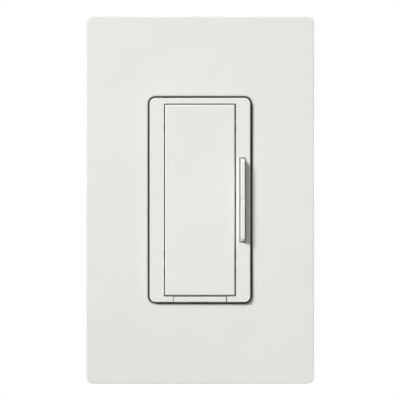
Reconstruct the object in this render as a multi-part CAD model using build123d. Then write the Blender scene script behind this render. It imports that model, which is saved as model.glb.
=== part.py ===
from build123d import *
import os

# A wall-box companion dimmer with its screwless wall plate. Every piece is drawn as seen from the front:
# x runs to the right, y up the wall and z out of the wall, with z = 0 on the wall's surface.
# Each finished piece is then stood up, so that the front faces -Y and +Z is up.

# Driving dimensions, in millimetres

# Wall plate
plate_border = 20.25
plate_end_room = 4.85
plate_depth = 7.6
plate_draft = 1.0
plate_wall = 2.0
plate_side_wall = 1.8
plate_corner_radius = 2.4
plate_inner_radius = 1.2
plate_edge_radius = 0.3
plate_crown_radius = 2500.0
opening_radius = 2.3
opening_edge_radius = 0.4
collar_wall = 1.4
catch_length = 9.0
catch_pitch = 36.0
catch_overlap = 0.6
catch_rise = 0.8
catch_lip = 0.3
catch_gap = 0.15
catch_root = 0.4

# Plate adapter and its two screws
adapter_thickness = 1.8
adapter_room = 2.0
adapter_lip = 0.6
adapter_corner_radius = 4.0
adapter_screw_reach = 6.75
adapter_head_radius = 3.1
adapter_head_height = 1.3
adapter_screw_length = 7.0
adapter_fit = 0.25
seat_gap = 0.1

# Yoke
yoke_thickness = 1.5
yoke_end = 4.4
yoke_ear_width = 32.0
yoke_body_rim = 1.5
yoke_body_end_rim = 2.0
yoke_corner_radius = 3.0
yoke_slot_play = 2.2
window_room = 0.8
score_depth = 0.4
score_width = 0.8
score_inset = 6.0

# Box screws and the washers that keep them captive
box_screw_reach = 8.25
screw_radius = 1.75
screw_fit = 0.05
box_screw_length = 25.4
box_screw_neck_radius = 1.35
box_head_radius = 3.4
box_head_height = 1.9
drive_slot_width = 0.9
drive_slot_depth = 0.8
head_edge_radius = 0.5
retainer_radius = 4.3
retainer_thickness = 0.45
head_room = 1.0

# Bezel
bezel_gap = 0.47
bezel_proud = 1.15
bezel_rail = 4.62
bezel_end_rail = 1.82
bezel_wall = 1.3
bezel_deck = 1.7
bezel_edge_radius = 0.2
boss_radius = 2.2
boss_room = 0.75

# Tap paddle
paddle_width = 22.5
paddle_height = 61.5
paddle_gap = 0.36
paddle_proud = 0.45
paddle_wall = 1.5
paddle_bevel_width = 0.6
paddle_bevel_depth = 0.06
paddle_rim_radius = 0.4
paddle_inner_radius = 0.5
paddle_depth = 5.6
hinge_inset = 2.0
hinge_rise = 1.6
hinge_pin_radius = 1.1
hinge_pin_length = 1.3
hinge_fit = 0.05
bearing_half_height = 2.3
paddle_post_y = -2.0
paddle_post_radius = 1.6
hook_room = 2.1
hook_length = 3.0
hook_reach = 0.9
hook_thickness = 1.0
hook_gap = 0.1

# Dimming rocker
rocker_width = 1.35
rocker_length = 26.5
rocker_taper = 0.4
rocker_proud = 2.3
rocker_end_radius = 0.9
rocker_edge_radius = 0.2
rocker_inset = 0.1
rocker_left_gap = 0.45
rocker_right_gap = 0.2
rocker_end_gap = 0.5
shoulder_drop = 0.3
shoulder_thickness = 1.0
shoulder_fit = 0.1
shoulder_end_fit = 0.15
rocker_depth = 6.0
rocker_pin_radius = 0.9
rocker_pin_length = 0.6
rocker_pin_rise = 2.9
notch_half_width = 1.3
notch_depth = 0.26
rocker_post_y = 11.0
rocker_post_width = 3.0

# Service tab
tab_width = 17.1
tab_gap = 0.18
tab_block_depth = 4.0
tab_edge_radius = 0.25
tab_travel = 3.5
tab_stop_gap = 0.2
tail_width = 8.0
tail_thickness = 1.4
tail_slit_width = 2.4
barb_reach = 0.9
barb_length = 1.6
tail_fit = 0.3
tail_room = 1.2

# Circuit board, push switches and diodes
board_edge = 0.87
board_thickness = 1.6
board_depth = 6.5
board_room = 0.9
board_corner_radius = 1.5
switch_size = 6.0
switch_height = 3.6
switch_chamfer = 0.6
stem_radius = 1.75
stem_proud = 1.4
stem_seat = 1.0
stem_room = 1.0
stem_fit = 0.05
post_gap = 0.05
diode_radius = 1.35
diode_length = 5.2
diode_span = 9.0
diode_x = 4.6
lead_radius = 0.38
lead_bend_radius = 0.9
lead_fit = 0.1
lead_tail = 0.5

# Insulating liner
liner_thickness = 0.4
liner_room = 0.3

# Back cover and its four screws
cover_depth = 29.0
cover_wall = 1.6
cover_draft = 1.2
cover_corner_radius = 3.0
cover_edge_radius = 1.0
pillar_radius = 3.75
pillar_room = 1.0
spigot_radius = 2.5
spigot_fit = 0.15
case_screw_radius = 1.1
case_head_radius = 2.1
case_head_height = 1.5
case_head_fit = 0.3
case_head_land = 1.6
case_screw_grip = 3.4
case_screw_tip_gap = 0.3

# Terminal channels in the back cover, with their strips and screws
channel_width = 10.0
channel_depth = 5.2
channel_wall = 1.5
channel_roof = 2.2
strip_thickness = 0.9
strip_width = 8.0
strip_height = 8.4
strip_inset = 0.5
strip_tail_width = 3.0
strip_tail_proud = 0.8
strip_fit = 0.1
terminal_screw_length = 6.0
terminal_head_radius = 3.4
terminal_head_height = 2.0
left_terminal_y = 10.0
right_terminal_y = 0.0

# Earth screw on the yoke
ground_inset = 5.5
ground_head_radius = 3.8
ground_head_height = 2.4
ground_collar_height = 0.6
ground_room = 0.7
ground_tip_gap = 0.1

# Supply contact that the service tab holds closed
contact_thickness = 0.4
contact_width = 1.8
contact_foot_width = 4.0
contact_foot_length = 2.0
contact_spread = 7.5
rivet_radius = 0.9
rivet_height = 0.5
contact_edge_room = 0.8

# Levels and places that follow from the sizes above
yoke_front = yoke_thickness
adapter_front = yoke_front + adapter_thickness
bezel_front = plate_depth + bezel_proud
deck_back = bezel_front - bezel_deck
paddle_front = bezel_front + paddle_proud
paddle_back = paddle_front - paddle_depth
rocker_front = bezel_front + rocker_proud
rocker_back = bezel_front - rocker_depth
crown_centre_z = plate_depth - plate_crown_radius

well_width = paddle_width + 2 * paddle_gap
well_height = paddle_height + 2 * paddle_gap
well_radius = paddle_gap
rail_x = (well_width + bezel_rail) / 2
bottom_rail_y = -(well_height + bezel_end_rail) / 2
bezel_width = well_width + 2 * bezel_rail
bezel_height = well_height + 2 * bezel_end_rail
bezel_radius = opening_radius - bezel_gap
opening_width = bezel_width + 2 * bezel_gap
opening_height = bezel_height + 2 * bezel_gap

box_screw_pitch = opening_height + 2 * box_screw_reach
adapter_screw_pitch = box_screw_pitch + 2 * adapter_screw_reach
yoke_length = adapter_screw_pitch + 2 * yoke_end
plate_width = opening_width + 2 * plate_border
plate_height = yoke_length + 2 * (plate_side_wall + plate_end_room)
adapter_width = plate_width - 2 * (plate_side_wall + adapter_room)
adapter_height = plate_height - 2 * (plate_side_wall + adapter_room)

hinge_y = paddle_height / 2 - hinge_inset
hinge_z = paddle_back + hinge_rise
pillar_y = hinge_y - bearing_half_height - boss_room - boss_radius
hook_y = boss_radius + hook_room + hook_length / 2 - pillar_y
rocker_x = rail_x - rocker_inset
rocker_pin_end = rocker_width / 2 + rocker_left_gap + rocker_pin_length
rocker_pin_z = rocker_back + rocker_pin_rise

board_front = -board_depth
board_back = board_front - board_thickness
switch_top = board_front + switch_height
stem_top = switch_top + stem_proud
post_tip = stem_top + post_gap
board_bottom = bottom_rail_y + tail_thickness / 2 + contact_edge_room
board_top = pillar_y + pillar_radius
board_width = 2 * (rail_x + pillar_radius + board_edge)

cover_width = board_width + 2 * (board_room + cover_wall)
cover_bottom = bottom_rail_y - tail_thickness / 2 - tail_room - cover_wall
cover_top = board_top + pillar_room + cover_wall
cover_height = cover_top - cover_bottom
cover_y = (cover_top + cover_bottom) / 2
yoke_body_width = cover_width + 2 * yoke_body_rim
yoke_body_height = 2 * (yoke_body_end_rim - cover_bottom)
pillars = [(sx * rail_x, sy * pillar_y) for sx in (-1, 1) for sy in (-1, 1)]
case_head_z = board_back - case_head_land
channel_floor_x = cover_width / 2 - channel_depth
channel_top = board_back - channel_roof
strip_top = channel_top - strip_inset
terminal_screw_z = strip_top - strip_height / 2
ground_x = ground_inset - yoke_ear_width / 2
ground_y = cover_top + ground_head_radius + ground_room
signal_place = (-1, left_terminal_y)
supply_place = (-1, -left_terminal_y)
switched_place = (1, right_terminal_y)


# Shapes that many pieces share


def slab(width, height, radius, z_low, z_high, y_centre=0.0):
    """A plate with rounded corners between two levels."""
    return Pos(0, y_centre, z_low) * extrude(RectangleRounded(width, height, radius), z_high - z_low)


def block(x_span, y_span, z_span):
    """A plain block between two planes on each axis."""
    spans = (x_span, y_span, z_span)
    sizes = [high - low for low, high in spans]
    middles = [(high + low) / 2 for low, high in spans]
    return Pos(*middles) * Box(*sizes)


def rod(x, y, radius, z_low, z_high):
    """A round bar along z."""
    middle = (z_low + z_high) / 2
    return Pos(x, y, middle) * Cylinder(radius, z_high - z_low)


def cross_rod(x_low, x_high, y, z, radius):
    """A round bar along x."""
    middle = (x_low + x_high) / 2
    return Pos(middle, y, z) * Rot(0, 90, 0) * Cylinder(radius, x_high - x_low)


def crown(depth):
    """The ball whose top is the plate's crowned front, or that front set back by a depth."""
    return Pos(0, 0, crown_centre_z) * Rot(90, 0, 0) * Sphere(plate_crown_radius - depth)


def pan_screw(head_radius, head_height, shank_radius, length):
    """A slotted pan-head screw with its head on top of z = 0 and its shank below."""
    head = Pos(0, 0, head_height / 2) * Cylinder(head_radius, head_height)
    head = fillet(head.edges().group_by(Axis.Z)[-1], head_edge_radius)
    slot = Pos(0, 0, head_height) * Box(2 * head_radius, drive_slot_width, 2 * drive_slot_depth)
    return head - slot + rod(0, 0, shank_radius, -length, 0)


def write_piece(name, *solids):
    """Stands a piece up on the wall and writes it, as one solid or as a group of like ones."""
    stood = [Plane.XZ * solid for piece in solids for solid in piece.solids()]
    export_step(stood[0] if len(stood) == 1 else Compound(stood), f"parts/{name}.step")


# Wall plate: a crowned shell with a collar round its opening and six snap catches


def wall_plate():
    rim = RectangleRounded(plate_width, plate_height, plate_corner_radius)
    shell = extrude(rim, plate_depth, taper=plate_draft) & crown(0)
    shell = fillet(shell.faces().sort_by(Axis.Z)[-1].edges(), plate_edge_radius)
    inner_width = plate_width - 2 * plate_side_wall
    inner_height = plate_height - 2 * plate_side_wall
    hollow = slab(inner_width, inner_height, plate_inner_radius, 0, plate_depth) & crown(plate_wall)
    collar = slab(
        opening_width + 2 * collar_wall,
        opening_height + 2 * collar_wall,
        opening_radius + collar_wall,
        adapter_front + seat_gap,
        plate_depth,
    )
    shell = shell - hollow + (collar & crown(plate_wall / 2))
    opening = slab(opening_width, opening_height, opening_radius, 0, plate_depth)
    shell = shell - opening
    front_face = shell.faces().filter_by(GeomType.SPHERE).sort_by(Axis.Z)[-1]
    shell = fillet(front_face.inner_wires()[0].edges(), opening_edge_radius)

    top = yoke_front - catch_gap
    tip_x = adapter_width / 2 - catch_overlap
    root_x = inner_width / 2 + catch_root
    profile = Polyline(
        (tip_x, top),
        (root_x, top),
        (root_x, top - catch_lip - catch_rise),
        (inner_width / 2, top - catch_lip - catch_rise),
        (tip_x, top - catch_lip),
        close=True,
    )
    catch = extrude(Plane.XZ * make_face(profile), catch_length / 2, both=True)
    for row in (-1, 0, 1):
        right = Pos(0, row * catch_pitch, 0) * catch
        shell = shell + right + mirror(right, Plane.YZ)
    return shell


# Plate adapter: a flat frame on the yoke that the wall plate's catches hook behind


def plate_adapter():
    frame = slab(adapter_width, adapter_height, adapter_corner_radius, yoke_front, adapter_front)
    frame = frame - slab(
        opening_width + 2 * adapter_lip,
        opening_height + 2 * adapter_lip,
        opening_radius + adapter_lip,
        yoke_front,
        adapter_front,
    )
    for side in (-1, 1):
        head_y = side * box_screw_pitch / 2
        frame = frame - rod(0, head_y, box_head_radius + head_room, yoke_front, adapter_front)
        sunk = Cone(
            screw_radius + adapter_fit,
            adapter_head_radius + adapter_fit,
            adapter_head_height,
            align=(Align.CENTER, Align.CENTER, Align.MAX),
        )
        y = side * adapter_screw_pitch / 2
        frame = frame - Pos(0, y, adapter_front) * sunk
        frame = frame - rod(0, y, screw_radius + adapter_fit, yoke_front, adapter_front)
    return frame


def adapter_screw():
    head = Cone(
        screw_radius,
        adapter_head_radius,
        adapter_head_height,
        align=(Align.CENTER, Align.CENTER, Align.MAX),
    )
    slot = Box(2 * adapter_head_radius, drive_slot_width, drive_slot_depth)
    return head + rod(0, 0, screw_radius, -adapter_screw_length, -adapter_head_height) - slot


# Yoke: the metal strap that is screwed to the wall box


def post_windows(room):
    """Sketch of the gaps that the paddle's post, the rocker's posts and the tab's tail pass through."""
    paddle_window = Pos(0, paddle_post_y) * Circle(paddle_post_radius + room)
    rocker_window = Pos(rocker_x, 0) * SlotOverall(
        2 * rocker_post_y + rocker_post_width + 4 * room,
        rocker_width + 2 * room,
        rotation=90,
    )
    tail_window = Pos(0, bottom_rail_y) * Rectangle(
        tail_width + 2 * tail_fit,
        tail_thickness + 2 * tail_fit,
    )
    return [paddle_window, rocker_window, tail_window]


def yoke():
    ears = RectangleRounded(yoke_ear_width, yoke_length, yoke_corner_radius)
    body = RectangleRounded(yoke_body_width, yoke_body_height, yoke_corner_radius)
    strap = extrude(ears + body, yoke_thickness)
    for window in post_windows(window_room):
        strap = strap - extrude(window, yoke_thickness)
    for side in (-1, 1):
        y = side * box_screw_pitch / 2
        slot_width = 2 * (box_screw_neck_radius + screw_fit) + yoke_slot_play
        slot = Pos(0, y) * SlotOverall(slot_width + yoke_slot_play, slot_width)
        strap = strap - extrude(slot, yoke_thickness)
        strap = strap - rod(0, side * adapter_screw_pitch / 2, screw_radius + screw_fit, 0, yoke_front)
        for edge in (-1, 1):
            x = edge * (yoke_ear_width / 2 - score_inset)
            low, high = sorted((side * yoke_length / 2, side * yoke_body_height / 2))
            half = score_width / 2
            strap = strap - block((x - half, x + half), (low, high), (0, score_depth))
    for x, y in pillars:
        strap = strap - rod(x, y, case_screw_radius + screw_fit, 0, yoke_front)
    return strap - rod(ground_x, ground_y, screw_radius + screw_fit, 0, yoke_front)


def box_screw():
    """Captive screw: its thin neck runs through the yoke and the washer, with the thread behind them."""
    screw = pan_screw(box_head_radius, box_head_height, screw_radius, box_screw_length)
    neck_length = yoke_thickness + retainer_thickness
    sleeve = rod(0, 0, screw_radius, -neck_length, 0) - rod(0, 0, box_screw_neck_radius, -neck_length, 0)
    return screw - sleeve


def retainer():
    washer = rod(0, 0, retainer_radius, -retainer_thickness, 0)
    return washer - rod(0, 0, box_screw_neck_radius + screw_fit, -retainer_thickness, 0)


# Bezel: the moulded frame that carries the paddle, the rocker and the tab


def bezel():
    body = slab(bezel_width, bezel_height, bezel_radius, yoke_front, bezel_front)
    body = fillet(body.faces().sort_by(Axis.Z)[-1].edges(), bezel_edge_radius)
    hollow_radius = bezel_radius / 2
    hollow_width = bezel_width - 2 * bezel_wall
    hollow = slab(hollow_width, bezel_height - 2 * bezel_wall, hollow_radius, yoke_front, deck_back)
    half_width = bezel_width / 2 - bezel_wall / 2

    for x, y in pillars:
        hollow = hollow - rod(x, y, boss_radius, yoke_front, deck_back)
    bearing_span = (hinge_y - bearing_half_height, hinge_y + bearing_half_height)
    for side in (-1, 1):
        x_span = sorted((side * well_width / 2, side * half_width))
        hollow = hollow - block(x_span, bearing_span, (yoke_front, deck_back))
    rocker_bearing = (-bearing_half_height, bearing_half_height)
    hollow = hollow - block((well_width / 2, half_width), rocker_bearing, (yoke_front, deck_back))
    body = body - hollow

    body = body - slab(well_width, well_height, well_radius, yoke_front, bezel_front)
    slot_x = (rocker_x - rocker_width / 2 - rocker_left_gap, rocker_x + rocker_width / 2 + rocker_right_gap)
    slot_half = rocker_length / 2 + rocker_end_gap
    body = body - block(slot_x, (-slot_half, slot_half), (yoke_front, bezel_front))
    pin_end = rocker_pin_end + seat_gap
    pin_bore = rocker_pin_radius + hinge_fit
    body = body - cross_rod(rocker_x - pin_end, rocker_x + pin_end, 0, rocker_pin_z, pin_bore)
    hinge_end = paddle_width / 2 + hinge_pin_length + seat_gap
    body = body - cross_rod(-hinge_end, hinge_end, hinge_y, hinge_z, hinge_pin_radius + hinge_fit)

    notch_half = tab_width / 2 + tab_gap
    notch_y = (-bezel_height / 2, -well_height / 2 + well_radius)
    body = body - block((-notch_half, notch_half), notch_y, (yoke_front, bezel_front))
    for x, y in pillars:
        body = body - rod(x, y, case_screw_radius + screw_fit, yoke_front, yoke_front + case_screw_grip)
    return body


# Tap paddle: a shallow cap hinged near its top, with a post for the push switch and two stop hooks


def tap_paddle():
    half_width, half_height = paddle_width / 2, paddle_height / 2
    cap = block((-half_width, half_width), (-half_height, half_height), (paddle_back, paddle_front))
    front = cap.faces().sort_by(Axis.Z)[-1]
    cap = chamfer(front.edges(), paddle_bevel_width, paddle_bevel_depth, reference=front)
    rim = cap.edges().group_by(Axis.Z)[-3]
    cap = fillet(rim, paddle_rim_radius)
    hollow_width = paddle_width - 2 * paddle_wall
    hollow_height = paddle_height - 2 * paddle_wall
    roof = paddle_front - paddle_wall
    cap = cap - slab(hollow_width, hollow_height, paddle_inner_radius, paddle_back, roof)
    cap = cap + rod(0, paddle_post_y, paddle_post_radius, post_tip, roof)
    hook_top = deck_back - hook_gap
    for side in (-1, 1):
        root_x = side * (half_width - paddle_wall)
        pin_x = side * (half_width + hinge_pin_length)
        cap = cap + cross_rod(*sorted((root_x, pin_x)), hinge_y, hinge_z, hinge_pin_radius)
        hook_x = side * (well_width / 2 + hook_reach)
        hook_span = (hook_y - hook_length / 2, hook_y + hook_length / 2)
        cap = cap + block(sorted((root_x, hook_x)), hook_span, (hook_top - hook_thickness, hook_top))
    return cap


# Dimming rocker: a notched bar with a shoulder that fills its slot, two pins and two posts


def dimming_rocker():
    base = rocker_length / 2
    top = base - rocker_taper
    side_view = make_face(
        Polyline(
            (-base, rocker_back),
            (base, rocker_back),
            (base, bezel_front),
            (top, rocker_front),
            (-top, rocker_front),
            (-base, bezel_front),
            close=True,
        )
    )
    side_view = fillet(side_view.vertices().group_by(Axis.Y)[-1], rocker_end_radius)
    bar = extrude(Plane.YZ * side_view, rocker_width / 2, both=True)
    lengthwise = bar.edges().filter_by(Axis.X, reverse=True)
    crest = [edge for edge in lengthwise if edge.center().Z > bezel_front]
    bar = fillet(crest, rocker_edge_radius)
    notch = make_face(
        Polyline(
            (-notch_half_width, rocker_front),
            (0, rocker_front - notch_depth),
            (notch_half_width, rocker_front),
            close=True,
        )
    )
    bar = bar - extrude(Plane.YZ * notch, rocker_width, both=True)
    bar = bar + cross_rod(-rocker_pin_end, rocker_pin_end, 0, rocker_pin_z, rocker_pin_radius)
    half = rocker_width / 2
    shoulder_x = (shoulder_fit - half - rocker_left_gap, half + rocker_right_gap - shoulder_fit)
    shoulder_half = base + rocker_end_gap - shoulder_end_fit
    shoulder_top = bezel_front - shoulder_drop
    shoulder_z = (shoulder_top - shoulder_thickness, shoulder_top)
    bar = bar + block(shoulder_x, (-shoulder_half, shoulder_half), shoulder_z)
    for side in (-1, 1):
        middle = side * rocker_post_y
        span = (middle - rocker_post_width / 2, middle + rocker_post_width / 2)
        bar = bar + block((-half, half), span, (post_tip, rocker_back))
    return Pos(rocker_x, 0, 0) * bar


# Service tab: a block in the bottom rail with a barbed tail that reaches the supply contact


def service_tab():
    half_height = bezel_end_rail / 2
    tab_back = bezel_front - tab_block_depth
    rail_span = (bottom_rail_y - half_height, bottom_rail_y + half_height)
    cap = block((-tab_width / 2, tab_width / 2), rail_span, (tab_back, bezel_front))
    cap = fillet(cap.faces().sort_by(Axis.Z)[-1].edges(), tab_edge_radius)
    tail_end = board_back + post_gap
    barb_top = -liner_thickness - tab_stop_gap - tab_travel
    half = tail_width / 2
    slit = tail_slit_width / 2
    side_view = make_face(
        Polyline(
            (-half, tab_back),
            (-half, barb_top),
            (-half - barb_reach, barb_top),
            (-half, barb_top - barb_length),
            (-half, tail_end),
            (-slit, tail_end),
            (-slit, 0),
            (slit, 0),
            (slit, tail_end),
            (half, tail_end),
            (half, barb_top - barb_length),
            (half + barb_reach, barb_top),
            (half, barb_top),
            (half, tab_back),
            close=True,
        )
    )
    tail = extrude(Plane.XZ * side_view, tail_thickness / 2, both=True)
    return cap + Pos(0, bottom_rail_y, 0) * tail


# Push switches on the board, each a square body with a stem that slides in it


def switch_body(x, y):
    body = extrude(Rectangle(switch_size, switch_size), switch_height)
    body = chamfer(body.edges().filter_by(Axis.Z), switch_chamfer)
    bore_depth = stem_seat + stem_room
    bore = rod(0, 0, stem_radius + stem_fit, switch_height - bore_depth, switch_height)
    return Pos(x, y, board_front) * (body - bore)


def switch_stem(x, y):
    return rod(x, y, stem_radius, switch_top - stem_seat, stem_top)


# Signal diodes: a round body on two bent leads


def diode(x, y):
    axis_z = board_front + diode_radius
    low = board_back - lead_tail
    half = diode_span / 2
    corners = [(-half, low), (-half, axis_z), (half, axis_z), (half, low)]
    path = Plane.YZ * FilletPolyline(*corners, radius=lead_bend_radius)
    lead = sweep(Plane(path @ 0, z_dir=path % 0) * Circle(lead_radius), path)
    barrel = Pos(0, 0, axis_z) * Rot(90, 0, 0) * Cylinder(diode_radius, diode_length)
    return Pos(x, y, 0) * (lead + barrel)


# Terminal strips: flat brass flags, each with a tail that runs up through the board


def terminal_strip(place):
    """A square flag under the screw, with its tail."""
    side, y = place
    x_span = sorted((side * channel_floor_x, side * (channel_floor_x + strip_thickness)))
    tail_half = strip_tail_width / 2
    tail_levels = (strip_top - strip_inset, board_front + strip_tail_proud)
    tail = block(x_span, (y - tail_half, y + tail_half), tail_levels)
    flag_half = strip_width / 2
    flag = block(x_span, (y - flag_half, y + flag_half), (strip_top - strip_height, strip_top))
    flag = fillet(flag.edges().filter_by(Axis.X), strip_inset)
    hole = cross_rod(*x_span, y, terminal_screw_z, screw_radius + screw_fit)
    return flag + tail - hole


def strip_slot(place):
    """The gap that a strip's tail takes, with clearance all round."""
    side, y = place
    inner = channel_floor_x - strip_fit
    outer = channel_floor_x + strip_thickness + strip_fit
    x_span = sorted((side * inner, side * outer))
    half = strip_tail_width / 2 + strip_fit
    return block(x_span, (y - half, y + half), (channel_top, 0))


# Circuit board: located on the four pillars, with slots for the strips and holes for the leads


def circuit_board():
    middle = (board_top + board_bottom) / 2
    height = board_top - board_bottom
    board = slab(board_width, height, board_corner_radius, board_back, board_front, middle)
    for x, y in pillars:
        board = board - rod(x, y, spigot_radius + spigot_fit, board_back, board_front)
    for place in (signal_place, supply_place, switched_place):
        board = board - strip_slot(place)
    for side in (-1, 1):
        for end in (-1, 1):
            y = side * rocker_post_y + end * diode_span / 2
            board = board - rod(diode_x, y, lead_radius + lead_fit, board_back, board_front)
    return board


# Insulating liner: a thin sheet behind the yoke with the same gaps in it


def insulating_liner():
    width = cover_width - 2 * (cover_wall + liner_room)
    height = cover_height - 2 * (cover_wall + liner_room)
    sheet = slab(width, height, board_corner_radius, -liner_thickness, 0, cover_y)
    for window in post_windows(window_room):
        sheet = sheet - Pos(0, 0, -liner_thickness) * extrude(window, liner_thickness)
    for x, y in pillars:
        sheet = sheet - rod(x, y, spigot_radius + spigot_fit, -liner_thickness, 0)
    return sheet


# Back cover: a drafted box with stepped pillars and three terminal channels open to the side and back


def back_cover():
    outline = RectangleRounded(cover_width, cover_height, cover_corner_radius)
    outer = extrude(outline, cover_depth, dir=(0, 0, -1), taper=cover_draft)
    outer = fillet(outer.faces().sort_by(Axis.Z)[0].edges(), cover_edge_radius)
    inner_outline = RectangleRounded(
        cover_width - 2 * cover_wall,
        cover_height - 2 * cover_wall,
        cover_corner_radius - cover_wall,
    )
    hollow = extrude(inner_outline, cover_depth - cover_wall, dir=(0, 0, -1), taper=cover_draft)
    outer = Pos(0, cover_y, 0) * outer
    hollow = Pos(0, cover_y, 0) * hollow

    floor = -cover_depth
    for x, y in pillars:
        hollow = hollow - rod(x, y, pillar_radius, floor, board_back)
        hollow = hollow - rod(x, y, spigot_radius, board_back, 0)
    outside = cover_width / 2
    for side, y in (signal_place, supply_place, switched_place):
        half = channel_width / 2
        wall_x = sorted((side * (channel_floor_x - channel_wall), side * outside))
        wall_y = (y - half - channel_wall, y + half + channel_wall)
        hollow = hollow - block(wall_x, wall_y, (floor, board_back))
        channel_x = sorted((side * channel_floor_x, side * outside))
        outer = outer - block(channel_x, (y - half, y + half), (floor, channel_top))
    cover = outer - hollow

    for place in (signal_place, supply_place, switched_place):
        side, y = place
        cover = cover - strip_slot(place)
        inside = channel_floor_x - channel_wall
        x_span = sorted((side * inside, side * outside))
        cover = cover - cross_rod(*x_span, y, terminal_screw_z, screw_radius + screw_fit)
    for x, y in pillars:
        cover = cover - rod(x, y, case_screw_radius + screw_fit, case_head_z, 0)
        cover = cover - rod(x, y, case_head_radius + case_head_fit, floor, case_head_z)
    return cover


# Screws of the back cover, the terminals and the earth


def case_screw():
    """Drawn head down: the shank runs up through the yoke into the bezel's boss."""
    length = yoke_front + case_screw_grip - case_screw_tip_gap - case_head_z
    return Rot(180, 0, 0) * pan_screw(case_head_radius, case_head_height, case_screw_radius, length)


def terminal_screw(place):
    side, y = place
    screw = pan_screw(terminal_head_radius, terminal_head_height, screw_radius, terminal_screw_length)
    seat_x = side * (channel_floor_x + strip_thickness)
    return Pos(seat_x, y, terminal_screw_z) * Rot(0, side * 90, 0) * screw


def ground_screw():
    """Drawn from behind: a hexagon head on a round collar, its tip just short of the yoke's front."""
    head = extrude(RegularPolygon(ground_head_radius, 6), ground_head_height)
    head = Pos(0, 0, ground_collar_height) * head
    collar = rod(0, 0, ground_head_radius, 0, ground_collar_height)
    top = ground_collar_height + ground_head_height
    slot = Pos(0, 0, top) * Box(2 * ground_head_radius, drive_slot_width, 2 * drive_slot_depth)
    shank = rod(0, 0, screw_radius, ground_tip_gap - yoke_thickness, 0)
    return Pos(ground_x, ground_y, 0) * Rot(180, 0, 0) * (head + collar + shank - slot)


# Supply contact: a spring leaf and a fixed strip under the board's lower edge


def contact_foot(x):
    """The part of a strip that is soldered to the back of the board."""
    half = contact_foot_width / 2
    span = (bottom_rail_y - contact_width / 2, board_bottom + contact_foot_length)
    return block((x - half, x + half), span, (board_back - contact_thickness, board_back))


def contact_leaf():
    half = contact_width / 2
    arm_y = (bottom_rail_y - half, bottom_rail_y + half)
    leaf_back = board_back - contact_thickness
    arm = block((-contact_spread, rivet_radius), arm_y, (leaf_back, board_back))
    rivet = rod(0, bottom_rail_y, rivet_radius, leaf_back - rivet_height, leaf_back)
    return contact_foot(-contact_spread) + arm + rivet


def fixed_contact():
    half = contact_width / 2
    arm_y = (bottom_rail_y - half, bottom_rail_y + half)
    arm_front = board_back - contact_thickness - 2 * rivet_height
    arm_back = arm_front - contact_thickness
    riser_x = contact_spread - contact_foot_width / 2
    riser = block((riser_x, riser_x + contact_thickness), arm_y, (arm_back, board_back))
    arm = block((-rivet_radius, riser_x + contact_thickness), arm_y, (arm_back, arm_front))
    rivet = rod(0, bottom_rail_y, rivet_radius, arm_front, arm_front + rivet_height)
    return contact_foot(contact_spread) + riser + arm + rivet


# Write every piece

os.makedirs("parts", exist_ok=True)
write_piece("wall_plate", wall_plate())
write_piece("plate_adapter", plate_adapter())
write_piece("yoke", yoke())
write_piece("bezel", bezel())
write_piece("tap_paddle", tap_paddle())
write_piece("dimming_rocker", dimming_rocker())
write_piece("service_tab", service_tab())
write_piece("circuit_board", circuit_board())
write_piece("insulating_liner", insulating_liner())
write_piece("back_cover", back_cover())
write_piece("ground_screw", ground_screw())
write_piece("contact_leaf", contact_leaf())
write_piece("fixed_contact", fixed_contact())

switches = {
    "paddle": (0, paddle_post_y),
    "raise": (rocker_x, rocker_post_y),
    "lower": (rocker_x, -rocker_post_y),
}
for name, (x, y) in switches.items():
    write_piece(f"{name}_switch", switch_body(x, y))
    write_piece(f"{name}_switch_stem", switch_stem(x, y))
write_piece("raise_diode", diode(diode_x, rocker_post_y))
write_piece("lower_diode", diode(diode_x, -rocker_post_y))

terminals = {"supply": supply_place, "switched": switched_place, "signal": signal_place}
for name, place in terminals.items():
    write_piece(f"{name}_terminal", terminal_strip(place))
    write_piece(f"{name}_terminal_screw", terminal_screw(place))

adapter_places = [Pos(0, side * adapter_screw_pitch / 2, adapter_front) for side in (-1, 1)]
box_places = [Pos(0, side * box_screw_pitch / 2, 0) for side in (-1, 1)]
write_piece("adapter_screws", *[place * adapter_screw() for place in adapter_places])
write_piece("mounting_screws", *[place * Pos(0, 0, yoke_front) * box_screw() for place in box_places])
write_piece("screw_retainers", *[place * retainer() for place in box_places])
write_piece("case_screws", *[Pos(x, y, case_head_z) * case_screw() for x, y in pillars])
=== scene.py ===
import logging
import math
from dataclasses import dataclass, field
from enum import Enum
from functools import cache

import bmesh
import bpy
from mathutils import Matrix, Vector


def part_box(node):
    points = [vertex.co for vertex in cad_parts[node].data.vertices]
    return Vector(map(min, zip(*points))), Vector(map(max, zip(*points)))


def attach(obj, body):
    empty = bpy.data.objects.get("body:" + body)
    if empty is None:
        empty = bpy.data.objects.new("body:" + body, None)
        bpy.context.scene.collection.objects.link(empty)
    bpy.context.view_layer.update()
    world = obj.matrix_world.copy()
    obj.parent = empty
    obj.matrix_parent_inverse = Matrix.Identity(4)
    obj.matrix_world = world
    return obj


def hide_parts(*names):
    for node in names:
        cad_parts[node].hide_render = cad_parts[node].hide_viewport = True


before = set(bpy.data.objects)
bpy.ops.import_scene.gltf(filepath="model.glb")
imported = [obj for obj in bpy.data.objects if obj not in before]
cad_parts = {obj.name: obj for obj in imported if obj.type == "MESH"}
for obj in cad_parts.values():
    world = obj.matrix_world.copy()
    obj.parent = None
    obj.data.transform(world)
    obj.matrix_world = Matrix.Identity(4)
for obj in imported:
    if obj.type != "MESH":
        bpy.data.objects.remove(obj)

log = logging.getLogger("companion_dimmer")

# Lengths are in metres and angles in degrees.

Colour = tuple[float, float, float]
Triple = tuple[float, float, float]
BLACK: Colour = (0.0, 0.0, 0.0)
WHITE: Colour = (1.0, 1.0, 1.0)
# Painted shade: the warm grey halfway down the darkening of hollows and gaps.
PAINTED_SHADE_TONE: Colour = (0.5, 0.47, 0.43)
EVEN: Triple = (1.0, 1.0, 1.0)
# Most of a soft noise lies between these two values.
NOISE_LOW, NOISE_HIGH = 0.3, 0.7
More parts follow.
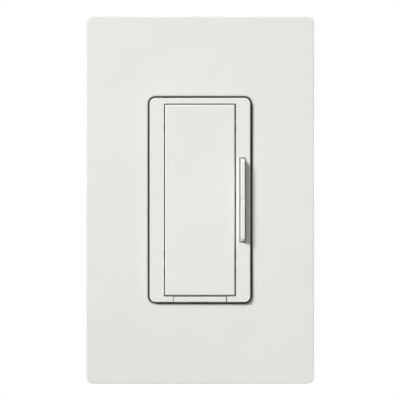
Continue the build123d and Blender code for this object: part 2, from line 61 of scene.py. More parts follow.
# One turn of thread: share of the pitch, with the height there from root to crest.
THREAD_FORM = ((0.0, 0.0), (0.4, 1.0), (0.55, 1.0), (0.95, 0.0))
ROWS = (("upper", 1), ("lower", -1))
COLUMNS = (("left", -1), ("right", 1))


# Finishes


class Graph:
    """A material's nodes, with short calls that add and join them."""

    def __init__(self, name: str) -> None:
        """Starts a material that holds only its surface shader.

        Args:
            name: The material's name.
        """
        self.material = bpy.data.materials.new(name)
        self.material.use_nodes = True
        self.tree = self.material.node_tree
        self.surface = self.tree.nodes["Principled BSDF"]

    def add(self, kind: str, **inputs: object) -> bpy.types.Node:
        """Adds a node and sets or joins its inputs.

        Args:
            kind: The node's type, as Blender names it.
            **inputs: A value or an output socket for each input, with _ for a space in its name.

        Returns:
            The new node.
        """
        node = self.tree.nodes.new(kind)
        for name, value in inputs.items():
            self.feed(node.inputs[name.replace("_", " ")], value)
        return node

    def feed(self, socket: bpy.types.NodeSocket, value: object) -> None:
        """Joins an output to a socket, or sets the socket's own value.

        Args:
            socket: The input to fill.
            value: An output socket, or a plain value.
        """
        if isinstance(value, bpy.types.NodeSocket):
            self.tree.links.new(value, socket)
        else:
            socket.default_value = value

    def place(self, stretch: Triple = EVEN) -> bpy.types.NodeSocket:
        """The point on the piece, in metres, drawn out along its axes.

        Args:
            stretch: Factor on each axis; a small one draws the grain out along that axis.

        Returns:
            The mapped point.
        """
        point = self.add("ShaderNodeTexCoord").outputs["Object"]
        return self.add("ShaderNodeMapping", Vector=point, Scale=stretch).outputs["Vector"]

    def noise(
        self,
        grain: float,
        stretch: Triple = EVEN,
        detail: float = 2.0,
    ) -> bpy.types.NodeSocket:
        """Soft noise of a given grain.

        Args:
            grain: Size of the noise's lumps, in metres.
            stretch: Factor on each axis.
            detail: How many finer layers it has.

        Returns:
            The noise, from 0 to 1.
        """
        node = self.add("ShaderNodeTexNoise", Vector=self.place(stretch), Scale=1.0 / grain, Detail=detail)
        return node.outputs["Fac"]

    def span(self, value: bpy.types.NodeSocket, low: float, high: float) -> bpy.types.NodeSocket:
        """A 0 to 1 value spread over a range.

        Args:
            value: The value to spread.
            low: Result at 0.
            high: Result at 1.

        Returns:
            The spread value.
        """
        return self.add("ShaderNodeMapRange", Value=value, To_Min=low, To_Max=high).outputs["Result"]

    def ramp(
        self,
        value: bpy.types.NodeSocket,
        stops: list[tuple[float, Colour]],
        hard: bool = False,
    ) -> bpy.types.NodeSocket:
        """Colours along a value.

        Args:
            value: The value, from 0 to 1.
            stops: Places on it, each with its colour.
            hard: True for steps in place of blends.

        Returns:
            The colour.
        """
        node = self.add("ShaderNodeValToRGB", Fac=value)
        node.color_ramp.interpolation = "CONSTANT" if hard else "LINEAR"
        elements = node.color_ramp.elements
        while len(elements) < len(stops):
            elements.new(1.0)
        for element, (position, colour) in zip(elements, stops):
            element.position = position
            element.color = (*colour, 1.0)
        return node.outputs["Color"]

    def painted_crevice_shade(
        self,
        colour: bpy.types.NodeSocket,
        reach: float,
        floor: float,
        rays: int,
    ) -> bpy.types.NodeSocket:
        """Painted shade: a colour darkened where other surfaces close the piece in, as shade would fall
        there.

        Args:
            colour: The colour in the open.
            reach: How near those surfaces have to be, in metres.
            floor: The openness, from 0 to 1, at which it is black.
            rays: How many directions are looked along.

        Returns:
            The darkened colour.
        """
        # Painted shade: ambient occlusion darkens the base colour itself, through a warm grey to black.
        near = self.add("ShaderNodeAmbientOcclusion", Distance=reach)
        near.samples = rays
        stops = [(floor, BLACK), ((1.0 + floor) / 2, PAINTED_SHADE_TONE), (1.0, WHITE)]
        shaded = self.add("ShaderNodeVectorMath", Vector=colour)
        shaded.operation = "MULTIPLY"
        self.feed(shaded.inputs[1], self.ramp(near.outputs["AO"], stops))
        return shaded.outputs["Vector"]

    def emboss(self, height: bpy.types.NodeSocket, depth: float) -> None:
        """Gives the surface a fine relief.

        Args:
            height: The relief, from 0 to 1.
            depth: Its height, in metres.
        """
        bump = self.add("ShaderNodeBump", Strength=1.0, Distance=depth, Height=height)
        self.feed(self.surface.inputs["Normal"], bump.outputs["Normal"])


def shade(colour: Colour, factor: float) -> Colour:
    """A colour made lighter or darker by a factor."""
    return tuple(min(1.0, channel * factor) for channel in colour)


@dataclass(frozen=True)
class Finish:
    """A surface: its name, colour and gloss."""

    name: str
    colour: Colour
    roughness: float

    def graph(self) -> Graph:
        """The nodes of this finish with its plain values set.

        Returns:
            The nodes, on a new material.
        """
        graph = Graph(self.name)
        graph.feed(graph.surface.inputs["Roughness"], self.roughness)
        return graph

    @cache
    def material(self) -> bpy.types.Material:
        """The finish as a material, made once."""
        return self.paint(self.graph())

    def paint(self, graph: Graph) -> bpy.types.Material:
        """Draws the finish on its nodes.

        Args:
            graph: The nodes to draw on.

        Returns:
            The finished material.
        """
        graph.feed(graph.surface.inputs["Base Color"], (*self.colour, 1.0))
        return graph.material


@dataclass(frozen=True)
class PaintedShadeFinish(Finish):
    """A surface with painted shade in its hollows and gaps, and whose gloss varies a little."""

    # Painted shade: how far it reaches, the openness at which it is black, and its rays.
    painted_shade_reach: float = 0.0012
    painted_shade_floor: float = 0.0
    painted_shade_rays: int = 8
    gloss_spread: float = 0.04

    def coat(self, graph: Graph, tint: bpy.types.NodeSocket, sheen: bpy.types.NodeSocket) -> None:
        """Lays the colour on with painted shade in hollows and gaps, and spreads the gloss.

        Args:
            graph: The nodes to draw on.
            tint: The colour in the open.
            sheen: What the gloss varies with, from 0 to 1.
        """
        # Painted shade in hollows and gaps goes into the base colour.
        shaded = graph.painted_crevice_shade(tint, self.painted_shade_reach, self.painted_shade_floor, self.painted_shade_rays)
        graph.feed(graph.surface.inputs["Base Color"], shaded)
        least, most = self.roughness - self.gloss_spread, self.roughness + self.gloss_spread
        graph.feed(graph.surface.inputs["Roughness"], graph.span(sheen, least, most))


@dataclass(frozen=True)
class MouldedPlastic(PaintedShadeFinish):
    """Moulded plastic: a faint cloud in the colour, a fine tool grain, and painted shade that dulls its
    hollows and gaps.
    """

    cloud: float = 0.012
    cloud_grain: float = 0.02
    tool_grain: float = 0.0006
    tool_depth: float = 0.0000012

    def paint(self, graph: Graph) -> bpy.types.Material:
        """Draws the cloud, the gloss that varies with it, the painted shade in hollows and gaps, and the
        tool grain.

        Args:
            graph: The nodes to draw on.

        Returns:
            The finished material.
        """
        cloud = graph.noise(self.cloud_grain)
        dark, light = shade(self.colour, 1 - self.cloud), shade(self.colour, 1 + self.cloud)
        self.coat(graph, graph.ramp(cloud, [(NOISE_LOW, dark), (NOISE_HIGH, light)]), cloud)
        graph.emboss(graph.noise(self.tool_grain), self.tool_depth)
        return graph.material


@dataclass(frozen=True)
class DrawnMetal(PaintedShadeFinish):
    """Rolled, drawn or plated metal with a grain along one axis and painted shade in its recesses."""

    # Painted shade in recesses reaches further on metal and is black where they close in most.
    painted_shade_reach: float = 0.0015
    painted_shade_floor: float = 0.3
    gloss_spread: float = 0.08
    stretch: Triple = (1.0, 1.0, 0.03)
    grain: float = 0.0004
    depth: float = 0.000002
    tarnish: float = 0.12
    tarnish_grain: float = 0.006

    def paint(self, graph: Graph) -> bpy.types.Material:
        """Draws the grain, a little tarnish and the painted shade in the recesses.

        Args:
            graph: The nodes to draw on.

        Returns:
            The finished material.
        """
        graph.feed(graph.surface.inputs["Metallic"], 1.0)
        tarnish = graph.noise(self.tarnish_grain, self.stretch)
        stops = [(NOISE_LOW, shade(self.colour, 1 - self.tarnish)), (NOISE_HIGH, self.colour)]
        grain = graph.noise(self.grain, self.stretch)
        self.coat(graph, graph.ramp(tarnish, stops), grain)
        graph.emboss(grain, self.depth)
        return graph.material


@dataclass(frozen=True)
class FibreSheet(Finish):
    """Pressed fibre sheet with short strands in it."""

    strand: float = 0.0005
    stretch: Triple = (0.25, 1.0, 1.0)
    detail: float = 4.0
    # Each is a place in the noise and the factor on the colour there.
    dark: tuple[float, float] = (0.35, 0.7)
    light: tuple[float, float] = (0.65, 1.2)
    relief: float = 0.00001

    def paint(self, graph: Graph) -> bpy.types.Material:
        """Draws the strands as colour and relief.

        Args:
            graph: The nodes to draw on.

        Returns:
            The finished material.
        """
        strands = graph.noise(self.strand, self.stretch, self.detail)
        stops = [(place, shade(self.colour, factor)) for place, factor in (self.dark, self.light)]
        graph.feed(graph.surface.inputs["Base Color"], graph.ramp(strands, stops))
        graph.emboss(strands, self.relief)
        return graph.material


@dataclass(frozen=True)
class SolderMask(Finish):
    """Lacquered circuit board whose copper tracks show through as lighter lines."""

    track_colour: Colour = (0.03, 0.2, 0.06)
    track_pitch: float = 0.0022
    track_edges: tuple[float, float] = (0.3, 0.55)
    relief: float = 0.00002

    def paint(self, graph: Graph) -> bpy.types.Material:
        """Draws the tracks.

        Args:
            graph: The nodes to draw on.

        Returns:
            The finished material.
        """
        cells = graph.add("ShaderNodeTexVoronoi", Vector=graph.place(), Scale=1.0 / self.track_pitch)
        cells.distance = "CHEBYCHEV"
        tracks = cells.outputs["Distance"]
        inner, outer = self.track_edges
        stops = [(0.0, self.track_colour), (inner, self.colour), (outer, self.track_colour)]
        graph.feed(graph.surface.inputs["Base Color"], graph.ramp(tracks, stops, hard=True))
        graph.emboss(tracks, self.relief)
        return graph.material


@dataclass(frozen=True)
class BandedDiode(Finish):
    """Black diode barrel with a pale band at one end, on tinned leads."""

    middle: float = 0.011
    reach: float = 0.0052
    barrel_end: float = 0.0026
    band: tuple[float, float] = (0.0013, 0.002)
    lead_colour: Colour = (0.6, 0.6, 0.58)
    band_shade: float = 0.9

    def paint(self, graph: Graph) -> bpy.types.Material:
        """Draws barrel, band and leads by the distance along the diode.

        Args:
            graph: The nodes to draw on.

        Returns:
            The finished material.
        """
        split = graph.add("ShaderNodeSeparateXYZ", Vector=graph.place())
        along = graph.add(
            "ShaderNodeMapRange",
            Value=split.outputs["Z"],
            From_Min=self.middle - self.reach,
            From_Max=self.middle + self.reach,
        ).outputs["Result"]
        marks = (-self.barrel_end, *self.band, self.barrel_end)
        low, band_low, band_high, high = [0.5 + mark / (2 * self.reach) for mark in marks]
        tin, black, pale = self.lead_colour, self.colour, shade(self.lead_colour, self.band_shade)
        stops = [(0.0, tin), (low, black), (band_low, pale), (band_high, black), (high, tin)]
        graph.feed(graph.surface.inputs["Base Color"], graph.ramp(along, stops, hard=True))
        leads = graph.ramp(along, [(0.0, WHITE), (low, BLACK), (high, WHITE)], hard=True)
        graph.feed(graph.surface.inputs["Metallic"], leads)
        return graph.material


# The dimmer's finishes

ALONG_Y: Triple = (1.0, 0.1, 1.0)
ALONG_X: Triple = (0.1, 1.0, 1.0)
ALONG_LEAF: Triple = (0.03, 1.0, 1.0)

# Each white darkens in its hollows and gaps with painted shade, out to the reach given.
PLATE_WHITE = MouldedPlastic("plate_white", (0.82, 0.81, 0.78), 0.62, painted_shade_reach=0.0016)
CONTROL_WHITE = MouldedPlastic("control_white", (0.83, 0.82, 0.79), 0.58, painted_shade_reach=0.0008)
# Painted light: a lighter copy of the control white, so the rocker's top renders brighter; its painted
# shade in hollows reaches less far.
ROCKER_LIT_WHITE = MouldedPlastic("rocker_lit_white", (0.85, 0.84, 0.81), 0.58, painted_shade_reach=0.0005)
ADAPTER_WHITE = MouldedPlastic("adapter_white", (0.74, 0.73, 0.7), 0.5)
HOUSING_BLACK = MouldedPlastic(
    "housing_black",
    (0.022, 0.022, 0.024),
    0.55,
    cloud=0.15,
    cloud_grain=0.012,
    tool_grain=0.0004,
    tool_depth=0.00002,
)
SWITCH_BLACK = MouldedPlastic("switch_black", (0.03, 0.03, 0.03), 0.45, cloud=0.1, cloud_grain=0.003)
STEM_WHITE = MouldedPlastic("stem_white", (0.7, 0.69, 0.66), 0.4)
YOKE_METAL = DrawnMetal("rolled_yoke", (0.57, 0.58, 0.6), 0.34, tarnish=0.13, tarnish_grain=0.001)
SCREW_ZINC = DrawnMetal("screw_zinc", (0.62, 0.63, 0.64), 0.3, stretch=ALONG_Y)
EARTH_GREEN = DrawnMetal("earth_green", (0.04, 0.3, 0.1), 0.34, stretch=ALONG_Y)
SCREW_BLACK = DrawnMetal("screw_black", (0.05, 0.05, 0.055), 0.4, stretch=ALONG_X)
SCREW_BRASS = DrawnMetal("screw_brass", (0.78, 0.56, 0.24), 0.28, stretch=ALONG_X)
SCREW_BLUE = DrawnMetal("screw_blue", (0.06, 0.14, 0.5), 0.36, stretch=ALONG_X)
TERMINAL_BRASS = DrawnMetal("strip_brass", (0.76, 0.55, 0.26), 0.34)
CONTACT_BRONZE = DrawnMetal("contact_bronze", (0.7, 0.46, 0.3), 0.32, stretch=ALONG_LEAF)
LINER_FIBRE = FibreSheet("liner_fibre", (0.2, 0.17, 0.13), 0.8)
RETAINER_FIBRE = FibreSheet("retainer_fibre", (0.34, 0.12, 0.07), 0.8)
BOARD_GREEN = SolderMask("board_green", (0.01, 0.11, 0.035), 0.35)
RAISE_DIODE = BandedDiode("raise_diode_black", (0.02, 0.02, 0.02), 0.35)
LOWER_DIODE = BandedDiode("lower_diode_black", (0.02, 0.02, 0.02), 0.35, middle=-0.011)


# Screws


class Head(Enum):
    """The forms of screw head on the dimmer."""

    PAN = "pan"
    COUNTERSUNK = "countersunk"


class Drive(Enum):
    """What a screwdriver takes hold of."""

    SLOT = "slot"
    CROSS = "cross"
    COMBINED = "combined"


class Facing(Enum):
    """The side that a screw's head looks to, as a turn in degrees from the front."""

    FRONT = 0.0
    RIGHT = 90.0
    BACK = 180.0
    LEFT = 270.0


@dataclass
class ThreadedScrew:
    """A screw with a cut thread, drawn along +Y with its head's seat at y = 0."""

    head: Head
    head_radius: float
    head_height: float
    length: float
    drive: Drive = Drive.SLOT
    shank_radius: float = 0.00175
    neck_radius: float = 0.00135
    neck_length: float = 0.0
    pitch: float = 0.000794
    thread_depth: float = 0.0004
    edge_radius: float = 0.0005
    slot_width: float = 0.0009
    slot_depth: float = 0.0008
    cross_share: float = 0.62
    cross_depth: float = 1.3
    sides: int = 32
    edge_steps: int = 4
    sharp_angle: float = 35.0
    weld: float = 1e-7
    sliver: float = 1e-8

    def top(self) -> float:
        """Level of the head's flat front."""
        return -self.head_height if self.head is Head.PAN else 0.0

    def head_profile(self) -> list[tuple[float, float]]:
        """The head's outline from its axis outwards and back to the shank.

        Returns:
            Pairs of radius and level.
        """
        if self.head is Head.COUNTERSUNK:
            return [(self.head_radius, 0.0), (self.shank_radius, self.head_height)]
        outline = []
        for step in range(self.edge_steps + 1):
            turn = math.radians(90.0 * step / self.edge_steps)
            radius = self.head_radius - self.edge_radius * (1 - math.sin(turn))
            outline.append((radius, self.top() + self.edge_radius * (1 - math.cos(turn))))
        return [*outline, (self.head_radius, 0.0)]

    def thread_start(self) -> float:
        """Level where the thread begins."""
        return self.neck_length if self.head is Head.PAN else self.head_height

    def ring(self, mesh: bmesh.types.BMesh, radius: float, level: float) -> list[bmesh.types.BMVert]:
        """Adds one ring of points round the screw's axis.

        Args:
            mesh: The mesh to add to.
            radius: The ring's radius.
            level: Its place along the screw.

        Returns:
            The ring's points.
        """
        turns = [2 * math.pi * side / self.sides for side in range(self.sides)]
        return [mesh.verts.new((radius * math.cos(turn), level, radius * math.sin(turn))) for turn in turns]

    def turned(self, mesh: bmesh.types.BMesh) -> None:
        """Adds the head, the neck and the end, which are turned on the axis.

        Args:
            mesh: The mesh to add to.
        """
        root = self.shank_radius - self.thread_depth
        profile = self.head_profile()
        if self.neck_length:
            profile += [(self.neck_radius, 0.0), (self.neck_radius, self.thread_start())]
        profile.append((root, self.thread_start()))
        rings = [self.ring(mesh, radius, level) for radius, level in profile]
        for first, second in zip(rings, rings[1:]):
            for side in range(self.sides):
                after = (side + 1) % self.sides
                mesh.faces.new((first[side], first[after], second[after], second[side]))
        mesh.faces.new(list(reversed(rings[0])))
        mesh.faces.new(self.ring(mesh, root, self.length))

    def thread(self, mesh: bmesh.types.BMesh) -> None:
        """Adds the thread as rows of faces that climb with its pitch and fade out at both ends.

        Args:
            mesh: The mesh to add to.
        """
        start, end = self.thread_start(), self.length
        root = self.shank_radius - self.thread_depth
        turns = math.ceil((end - start) / self.pitch) + 1
        columns = []
        for side in range(self.sides + 1):
            turn = 2 * math.pi * side / self.sides
            column = []
            for lap in range(-1, turns):
                for offset, height in THREAD_FORM:
                    level = start + self.pitch * (lap + offset + side / self.sides)
                    level = min(max(level, start), end)
                    fade = min(1.0, (level - start) / self.pitch, (end - level) / self.pitch)
                    radius = root + self.thread_depth * height * fade
                    column.append(mesh.verts.new((radius * math.cos(turn), level, radius * math.sin(turn))))
            columns.append(column)
        for left, right in zip(columns, columns[1:]):
            for row in range(len(left) - 1):
                mesh.faces.new((left[row], right[row], right[row + 1], left[row + 1]))

    def cutters(self) -> list[Vector]:
        """The blocks that are cut out of the head.

        Returns:
            Their sizes, each block being centred on the head's front.
        """
        head_width, depth = 2 * self.head_radius, 2 * self.slot_depth
        slot = Vector((2 * head_width, depth, self.slot_width))
        across, deep = self.cross_share * head_width, self.cross_depth * depth
        arms = [Vector((across, deep, self.slot_width)), Vector((self.slot_width, deep, across))]
        if self.drive is Drive.SLOT:
            return [slot]
        return arms if self.drive is Drive.CROSS else [slot, arms[1]]

    def cut_drive(self, screw: bpy.types.Object) -> None:
        """Cuts the recess for the screwdriver into the head.

        Args:
            screw: The screw to cut.
        """
        for size in self.cutters():
            cutter_mesh = bpy.data.meshes.new("recess")
            block = bmesh.new()
            bmesh.ops.create_cube(block, size=1.0)
            bmesh.ops.scale(block, vec=size, verts=block.verts)
            bmesh.ops.translate(block, vec=(0.0, self.top(), 0.0), verts=block.verts)
            block.to_mesh(cutter_mesh)
            block.free()
            cutter = bpy.data.objects.new("recess", cutter_mesh)
            bpy.context.scene.collection.objects.link(cutter)
            cut = screw.modifiers.new("recess", "BOOLEAN")
            cut.operation = "DIFFERENCE"
            cut.solver = "EXACT"
            cut.object = cutter
            bpy.context.view_layer.update()
            evaluated = screw.evaluated_get(bpy.context.evaluated_depsgraph_get())
            recessed = bpy.data.meshes.new_from_object(evaluated)
            screw.modifiers.clear()
            screw.data = recessed
            bpy.data.objects.remove(cutter)

    def build(self, name: str, place: Vector, facing: Facing = Facing.FRONT) -> bpy.types.Object:
        """Makes one screw.

        Args:
            name: Name of the piece.
            place: Where its head is seated.
            facing: The side that its head looks to.

        Returns:
            The screw, in place.
        """
        mesh = bmesh.new()
        self.turned(mesh)
        self.thread(mesh)
        bmesh.ops.remove_doubles(mesh, verts=mesh.verts, dist=self.weld)
        bmesh.ops.dissolve_degenerate(mesh, edges=mesh.edges, dist=self.sliver)
        bmesh.ops.recalc_face_normals(mesh, faces=mesh.faces)
        data = bpy.data.meshes.new(name)
        mesh.to_mesh(data)
        mesh.free()
        screw = bpy.data.objects.new(name, data)
        bpy.context.scene.collection.objects.link(screw)
        self.cut_drive(screw)
        screw.data.shade_smooth()
        screw.data.set_sharp_from_angle(angle=math.radians(self.sharp_angle))
        screw.location = place
        screw.rotation_euler = (0.0, 0.0, math.radians(facing.value))
        return screw


# Sub-assemblies


@dataclass
class SubAssembly:
    """Some of the dimmer's pieces, with the finish that each one has."""

    name: str = ""
    finishes: dict[str, Finish] = field(default_factory=dict)
    pieces: list[bpy.types.Object] = field(default_factory=list)

    def build(self) -> None:
        """Makes the meshes that stand for plainer solids."""

    def apply_finish(self, piece: bpy.types.Object, node: str) -> None:
        """Gives a piece the finish of a solid, and counts it in.

        Args:
            piece: The piece to finish.
            node: The solid whose finish it takes.
        """
        piece.data.materials.clear()
        piece.data.materials.append(self.finishes[node].material())
        self.pieces.append(piece)

    def dress(self) -> None:
        """Gives every solid of this sub-assembly its finish."""
        for node in self.finishes:
            self.apply_finish(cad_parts[node], node)

    def stand_in(self, piece: bpy.types.Object, node: str, slot: str) -> None:
        """Puts a detailed mesh in the place of a solid.

        Args:
            piece: The detailed mesh, in place.
            node: The solid that it stands for.
            slot: Not used.
        """
        self.apply_finish(piece, node)
        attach(piece, "chassis")
        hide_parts(node)

    def report(self) -> None:
        """Logs every piece that shows, with its size."""
        for piece in self.pieces:
            if not piece.hide_render:
                size = ", ".join(f"{1000 * edge:.1f}" for edge in piece.dimensions)
                log.info("%s: %s, %s mm", self.name, piece.name, size)


@dataclass
class WallPlateSet(SubAssembly):
    """The wall plate, the adapter that it snaps on and the adapter's screws."""

    name: str = "wall plate"
    finishes: dict[str, Finish] = field(
        default_factory=lambda: {
            "wall_plate": PLATE_WHITE,
            "plate_adapter": ADAPTER_WHITE,
            "adapter_screws": SCREW_ZINC,
        }
    )
    screw_head_radius: float = 0.0031
    screw_head_height: float = 0.0013
    screw_length: float = 0.007

    def build(self) -> None:
        """Makes the adapter's two threaded screws."""
        low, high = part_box("adapter_screws")
        screw = ThreadedScrew(
            Head.COUNTERSUNK,
            self.screw_head_radius,
            self.screw_head_height,
            self.screw_length,
        )
        reach = high.z - self.screw_head_radius
        for name, side in ROWS:
            made = screw.build(f"{name}_adapter_screw", Vector((0.0, low.y, side * reach)))
            self.stand_in(made, "adapter_screws", "plated_screw")


@dataclass
class ControlFront(SubAssembly):
    """The bezel with the paddle, the rocker and the tab that move in it."""

    name: str = "control front"
    finishes: dict[str, Finish] = field(
        default_factory=lambda: {
            "bezel": CONTROL_WHITE,
            "tap_paddle": CONTROL_WHITE,
            "dimming_rocker": ROCKER_LIT_WHITE,
            "service_tab": CONTROL_WHITE,
        }
    )


@dataclass
class YokeSet(SubAssembly):
    """The metal strap, its captive box screws and its earth screw."""

    name: str = "yoke"
    finishes: dict[str, Finish] = field(
        default_factory=lambda: {
            "yoke": YOKE_METAL,
            "mounting_screws": SCREW_ZINC,
            "screw_retainers": RETAINER_FIBRE,
            "ground_screw": EARTH_GREEN,
        }
    )
    screw_head_radius: float = 0.0034
    screw_head_height: float = 0.0019
    screw_length: float = 0.0254
    neck_length: float = 0.00195

    def build(self) -> None:
        """Makes the two threaded box screws."""
        low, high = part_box("mounting_screws")
        screw = ThreadedScrew(
            Head.PAN,
            self.screw_head_radius,
            self.screw_head_height,
            self.screw_length,
            Drive.COMBINED,
            neck_length=self.neck_length,
        )
        reach = high.z - self.screw_head_radius
        seat = low.y + self.screw_head_height
        for name, side in ROWS:
            made = screw.build(f"{name}_mounting_screw", Vector((0.0, seat, side * reach)))
            self.stand_in(made, "mounting_screws", "plated_screw")


@dataclass
class BackHousing(SubAssembly):
    """The back cover, the liner behind the yoke and the four case screws."""

    name: str = "back housing"
    finishes: dict[str, Finish] = field(
        default_factory=lambda: {
            "back_cover": HOUSING_BLACK,
            "insulating_liner": LINER_FIBRE,
            "case_screws": SCREW_ZINC,
        }
    )
    screw_radius: float = 0.0011
    screw_head_radius: float = 0.0021
    screw_head_height: float = 0.0015
    screw_pitch: float = 0.0009
    screw_thread: float = 0.0003
    recess_width: float = 0.0007

    def build(self) -> None:
        """Makes the four case screws, whose heads look backwards."""
        low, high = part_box("case_screws")
        seat = high.y - self.screw_head_height
        screw = ThreadedScrew(
            Head.PAN,
            self.screw_head_radius,
            self.screw_head_height,
            seat - low.y,
            Drive.CROSS,
            shank_radius=self.screw_radius,
            pitch=self.screw_pitch,
            thread_depth=self.screw_thread,
            slot_width=self.recess_width,
        )
        reach_x, reach_z = high.x - self.screw_head_radius, high.z - self.screw_head_radius
        for row, up in ROWS:
            for column, out in COLUMNS:
                place = Vector((out * reach_x, seat, up * reach_z))
                made = screw.build(f"{row}_{column}_case_screw", place, Facing.BACK)
                self.stand_in(made, "case_screws", "plated_screw")


@dataclass
class BoardSet(SubAssembly):
    """The circuit board with its push switches, diodes and supply contact."""

    name: str = "board"
    finishes: dict[str, Finish] = field(
        default_factory=lambda: {
            "circuit_board": BOARD_GREEN,
            "paddle_switch": SWITCH_BLACK,
            "raise_switch": SWITCH_BLACK,
            "lower_switch": SWITCH_BLACK,
            "paddle_switch_stem": STEM_WHITE,
            "raise_switch_stem": STEM_WHITE,
            "lower_switch_stem": STEM_WHITE,
            "raise_diode": RAISE_DIODE,
            "lower_diode": LOWER_DIODE,
            "contact_leaf": CONTACT_BRONZE,
            "fixed_contact": CONTACT_BRONZE,
        }
    )


@dataclass
class TerminalSet(SubAssembly):
    """The three terminal strips and their screws, each plated in its own colour."""

    name: str = "terminals"
    finishes: dict[str, Finish] = field(
        default_factory=lambda: {
            "supply_terminal": TERMINAL_BRASS,
            "switched_terminal": TERMINAL_BRASS,
            "signal_terminal": TERMINAL_BRASS,
            "supply_terminal_screw": SCREW_BLACK,
            "switched_terminal_screw": SCREW_BRASS,
            "signal_terminal_screw": SCREW_BLUE,
        }
    )
    slots: dict[str, str] = field(
        default_factory=lambda: {
            "supply_terminal_screw": "black_screw",
            "switched_terminal_screw": "brass_screw",
            "signal_terminal_screw": "blue_screw",
        }
    )
    screw_head_radius: float = 0.0034
    screw_head_height: float = 0.002
    screw_length: float = 0.006

    def build(self) -> None:
        """Makes the three terminal screws, which look out to the sides."""
        screw = ThreadedScrew(
            Head.PAN,
            self.screw_head_radius,
            self.screw_head_height,
            self.screw_length,
            Drive.COMBINED,
        )
        for node, slot in self.slots.items():
            low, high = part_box(node)
            middle = (low + high) / 2
            right = middle.x > 0
            seat = high.x - self.screw_head_height if right else low.x + self.screw_head_height
            facing = Facing.RIGHT if right else Facing.LEFT
            made = screw.build(f"threaded_{node}", Vector((seat, middle.y, middle.z)), facing)
            self.stand_in(made, node, slot)


# Studio


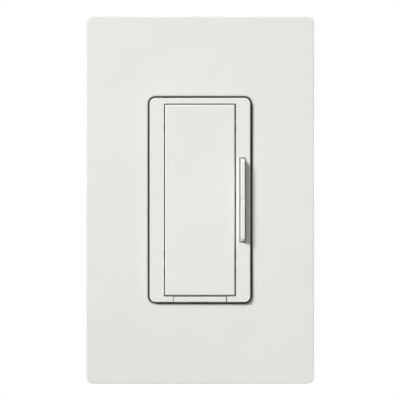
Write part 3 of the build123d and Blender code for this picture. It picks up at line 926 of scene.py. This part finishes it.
@dataclass
class Studio:
    """Camera, lamps, floor and white surroundings."""

    camera_distance: float = 1.0
    front_level: float = 0.00875
    pixels_per_metre: float = 3100.0
    image_size: int = 400
    sensor: float = 36.0
    floor_level: float = -0.13
    floor_size: float = 1.8
    floor_colour: Colour = (0.5, 0.5, 0.5)
    floor_roughness: float = 0.9
    floor_glow: float = 0.85
    front_light: float = 0.14
    back_light: float = 0.8
    turn: tuple[float, float] = (-0.3, 0.1)
    key_direction: Triple = (-0.9, -1.0, 0.8)
    key_distance: float = 1.4
    key_aim: Triple = (0.008, 0.0, 0.025)
    key_radius: float = 0.25
    key_cone: float = 22.0
    key_power: float = 151.5
    edge_direction: Triple = (1.0, 0.4, 0.1)
    edge_spread: float = 20.0
    edge_power: float = 1.5

    def camera(self) -> None:
        """Sets the camera square to the dimmer's front."""
        data = bpy.data.cameras.new("camera")
        data.sensor_width = self.sensor
        view_width = self.image_size / self.pixels_per_metre
        data.lens = self.sensor * self.camera_distance / view_width
        camera = bpy.data.objects.new("camera", data)
        camera.location = (0.0, -self.front_level - self.camera_distance, 0.0)
        camera.rotation_euler = (math.radians(90.0), 0.0, 0.0)
        bpy.context.scene.collection.objects.link(camera)
        bpy.context.scene.camera = camera

    def hang(self, data: bpy.types.Light, towards: Triple) -> None:
        """Hangs a lamp on one side of the dimmer and points it at the key lamp's aim.

        Args:
            data: The lamp's light.
            towards: The direction of its place, as seen from the aim.
        """
        lamp = bpy.data.objects.new(data.name, data)
        direction = Vector(towards).normalized()
        lamp.location = Vector(self.key_aim) + direction * self.key_distance
        lamp.rotation_euler = (-direction).to_track_quat("-Z", "Y").to_euler()
        bpy.context.scene.collection.objects.link(lamp)

    def key_lamp(self) -> None:
        """Adds the soft lamp at the upper left, whose light thins out towards the plate's corners."""
        data = bpy.data.lights.new("key_lamp", "SPOT")
        data.energy = self.key_power
        data.shadow_soft_size = self.key_radius
        data.spot_size = math.radians(self.key_cone)
        data.spot_blend = 1.0
        self.hang(data, self.key_direction)

    def edge_lamp(self) -> None:
        """Adds the weak lamp behind on the right, which lights the plate's right edge."""
        data = bpy.data.lights.new("edge_lamp", "SUN")
        data.energy = self.edge_power
        data.angle = math.radians(self.edge_spread)
        self.hang(data, self.edge_direction)

    def seen(self, tree: bpy.types.NodeTree) -> bpy.types.NodeSocket:
        """Whether a ray is one that shows the surroundings: straight, mirrored or through glass.

        Args:
            tree: The nodes to add to.

        Returns:
            1 for such a ray and 0 for others.
        """
        path = tree.nodes.new("ShaderNodeLightPath")
        result = path.outputs["Is Camera Ray"]
        for name in ("Is Glossy Ray", "Is Transmission Ray"):
            either = tree.nodes.new("ShaderNodeMath")
            either.operation = "MAXIMUM"
            tree.links.new(result, either.inputs[0])
            tree.links.new(path.outputs[name], either.inputs[1])
            result = either.outputs[0]
        return result

    def surroundings(self) -> None:
        """White all round to the eye; its light is strong from behind and weak from the front."""
        world = bpy.data.worlds.new("white_room")
        bpy.context.scene.world = world
        world.use_nodes = True
        tree = world.node_tree
        soft = tree.nodes["Background"]
        soft.inputs["Color"].default_value = (*WHITE, 1.0)
        point = tree.nodes.new("ShaderNodeTexCoord")
        split = tree.nodes.new("ShaderNodeSeparateXYZ")
        tree.links.new(point.outputs["Generated"], split.inputs[0])
        level = tree.nodes.new("ShaderNodeMapRange")
        tree.links.new(split.outputs["Y"], level.inputs["Value"])
        for name, value in zip(("From Min", "From Max"), self.turn):
            level.inputs[name].default_value = value
        level.inputs["To Min"].default_value = self.front_light
        level.inputs["To Max"].default_value = self.back_light
        tree.links.new(level.outputs["Result"], soft.inputs["Strength"])
        white = tree.nodes.new("ShaderNodeBackground")
        white.inputs["Color"].default_value = (*WHITE, 1.0)
        white.inputs["Strength"].default_value = 1.0
        mix = tree.nodes.new("ShaderNodeMixShader")
        tree.links.new(self.seen(tree), mix.inputs[0])
        tree.links.new(soft.outputs[0], mix.inputs[1])
        tree.links.new(white.outputs[0], mix.inputs[2])
        tree.links.new(mix.outputs[0], tree.nodes["World Output"].inputs["Surface"])

    def floor(self) -> None:
        """A pale floor well under the dimmer, which keeps its shadow and can't be seen from below."""
        half = self.floor_size / 2
        corners = [(-half, -half, 0.0), (half, -half, 0.0), (half, half, 0.0), (-half, half, 0.0)]
        data = bpy.data.meshes.new("floor")
        data.from_pydata(corners, [], [(0, 1, 2, 3)])
        floor = bpy.data.objects.new("floor", data)
        floor.location = (0.0, 0.0, self.floor_level)
        bpy.context.scene.collection.objects.link(floor)
        graph = Graph("pale_floor")
        graph.feed(graph.surface.inputs["Base Color"], (*self.floor_colour, 1.0))
        graph.feed(graph.surface.inputs["Roughness"], self.floor_roughness)
        glow = graph.add("ShaderNodeEmission", Strength=1.0)
        share = graph.add("ShaderNodeMapRange", Value=self.seen(graph.tree), To_Max=self.floor_glow)
        mix = graph.add("ShaderNodeMixShader", Fac=share.outputs["Result"])
        graph.feed(mix.inputs[1], graph.surface.outputs[0])
        graph.feed(mix.inputs[2], glow.outputs[0])
        under = graph.add("ShaderNodeNewGeometry").outputs["Backfacing"]
        sides = graph.add("ShaderNodeMixShader", Fac=under)
        graph.feed(sides.inputs[1], mix.outputs[0])
        graph.feed(sides.inputs[2], graph.add("ShaderNodeBsdfTransparent").outputs[0])
        graph.feed(graph.tree.nodes["Material Output"].inputs["Surface"], sides.outputs[0])
        data.materials.append(graph.material)

    def build(self) -> None:
        """Sets up the whole studio."""
        bpy.context.scene.view_settings.view_transform = "Standard"
        self.camera()
        self.key_lamp()
        self.edge_lamp()
        self.surroundings()
        self.floor()


def main() -> None:
    """Builds, dresses and logs the dimmer's sub-assemblies, then builds the studio."""
    logging.basicConfig(level=logging.INFO, format="%(message)s")
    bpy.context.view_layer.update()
    parts = (WallPlateSet(), ControlFront(), YokeSet(), BackHousing(), BoardSet(), TerminalSet())
    for assembly in parts:
        assembly.build()
        assembly.dress()
        assembly.report()
    Studio().build()


if __name__ == "__main__":
    main()
